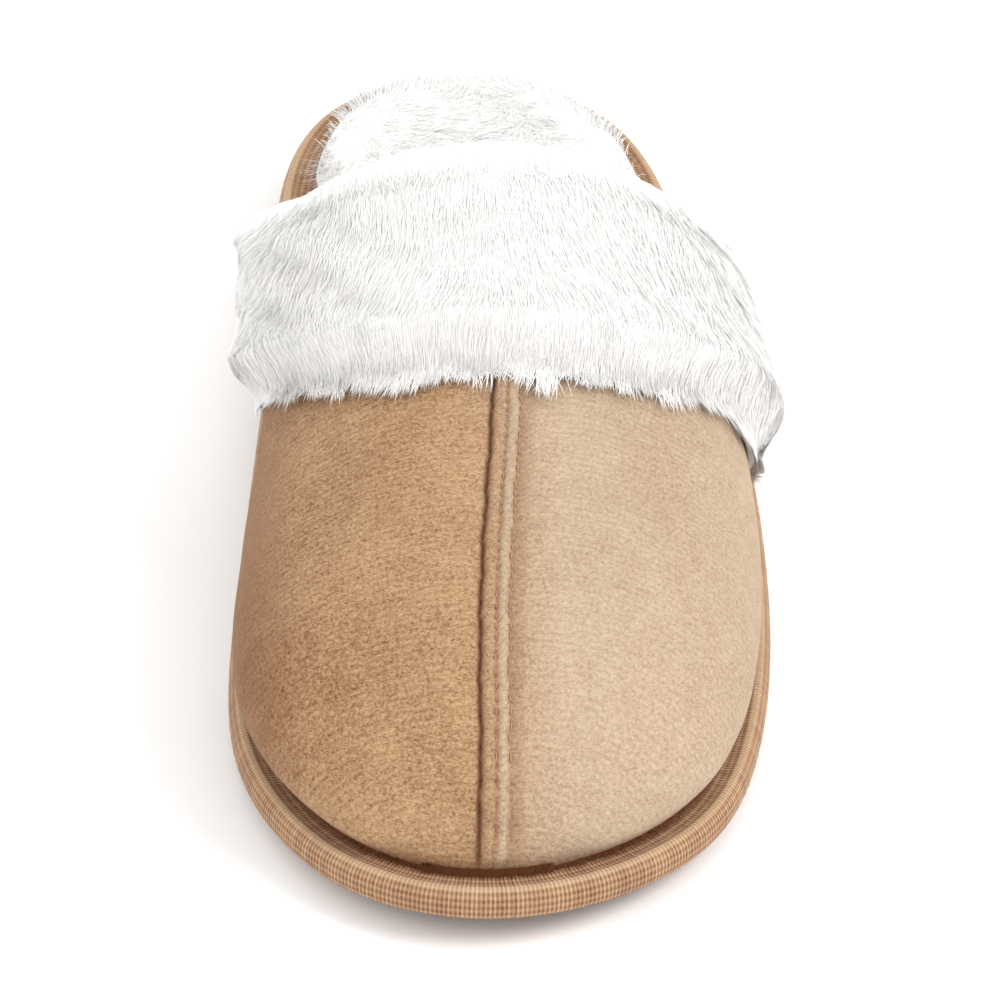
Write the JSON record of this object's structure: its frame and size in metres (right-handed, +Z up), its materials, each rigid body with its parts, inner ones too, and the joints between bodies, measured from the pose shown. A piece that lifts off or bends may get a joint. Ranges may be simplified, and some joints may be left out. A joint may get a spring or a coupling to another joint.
{
  "type": "scuff slipper",
  "caption": "Backless scuff slipper for a left foot, with a microsuede vamp, raised centre seam, folded fur cuff, plush footbed and a ribbed tape round the sole.",
  "frame": {"origin": "on the floor, under the middle of the sole's length and of its width at the ball", "axes": "+Z up, -Y towards the toe, +X towards the outer side of the left foot"},
  "size_m": [0.0996, 0.263, 0.0772],
  "materials": {
    "outsole_rubber": "matte, shallow chevron tread",
    "platform_foam": "closed cell foam, hidden by the tape",
    "ribbed_tape": "woven cross ribs, matte with a slight sheen on the rim",
    "footbed_plush": "white plush pile over foam",
    "microsuede": "short brushed nap, matte",
    "cuff_fur": "long white faux fur"
  },
  "bodies": {
    "root": {"outsole": "outsole_rubber", "midsole": "platform_foam", "binding": "ribbed_tape", "insole": "footbed_plush", "upper": "microsuede", "cuff": "cuff_fur"}
  },
  "joints": []
}
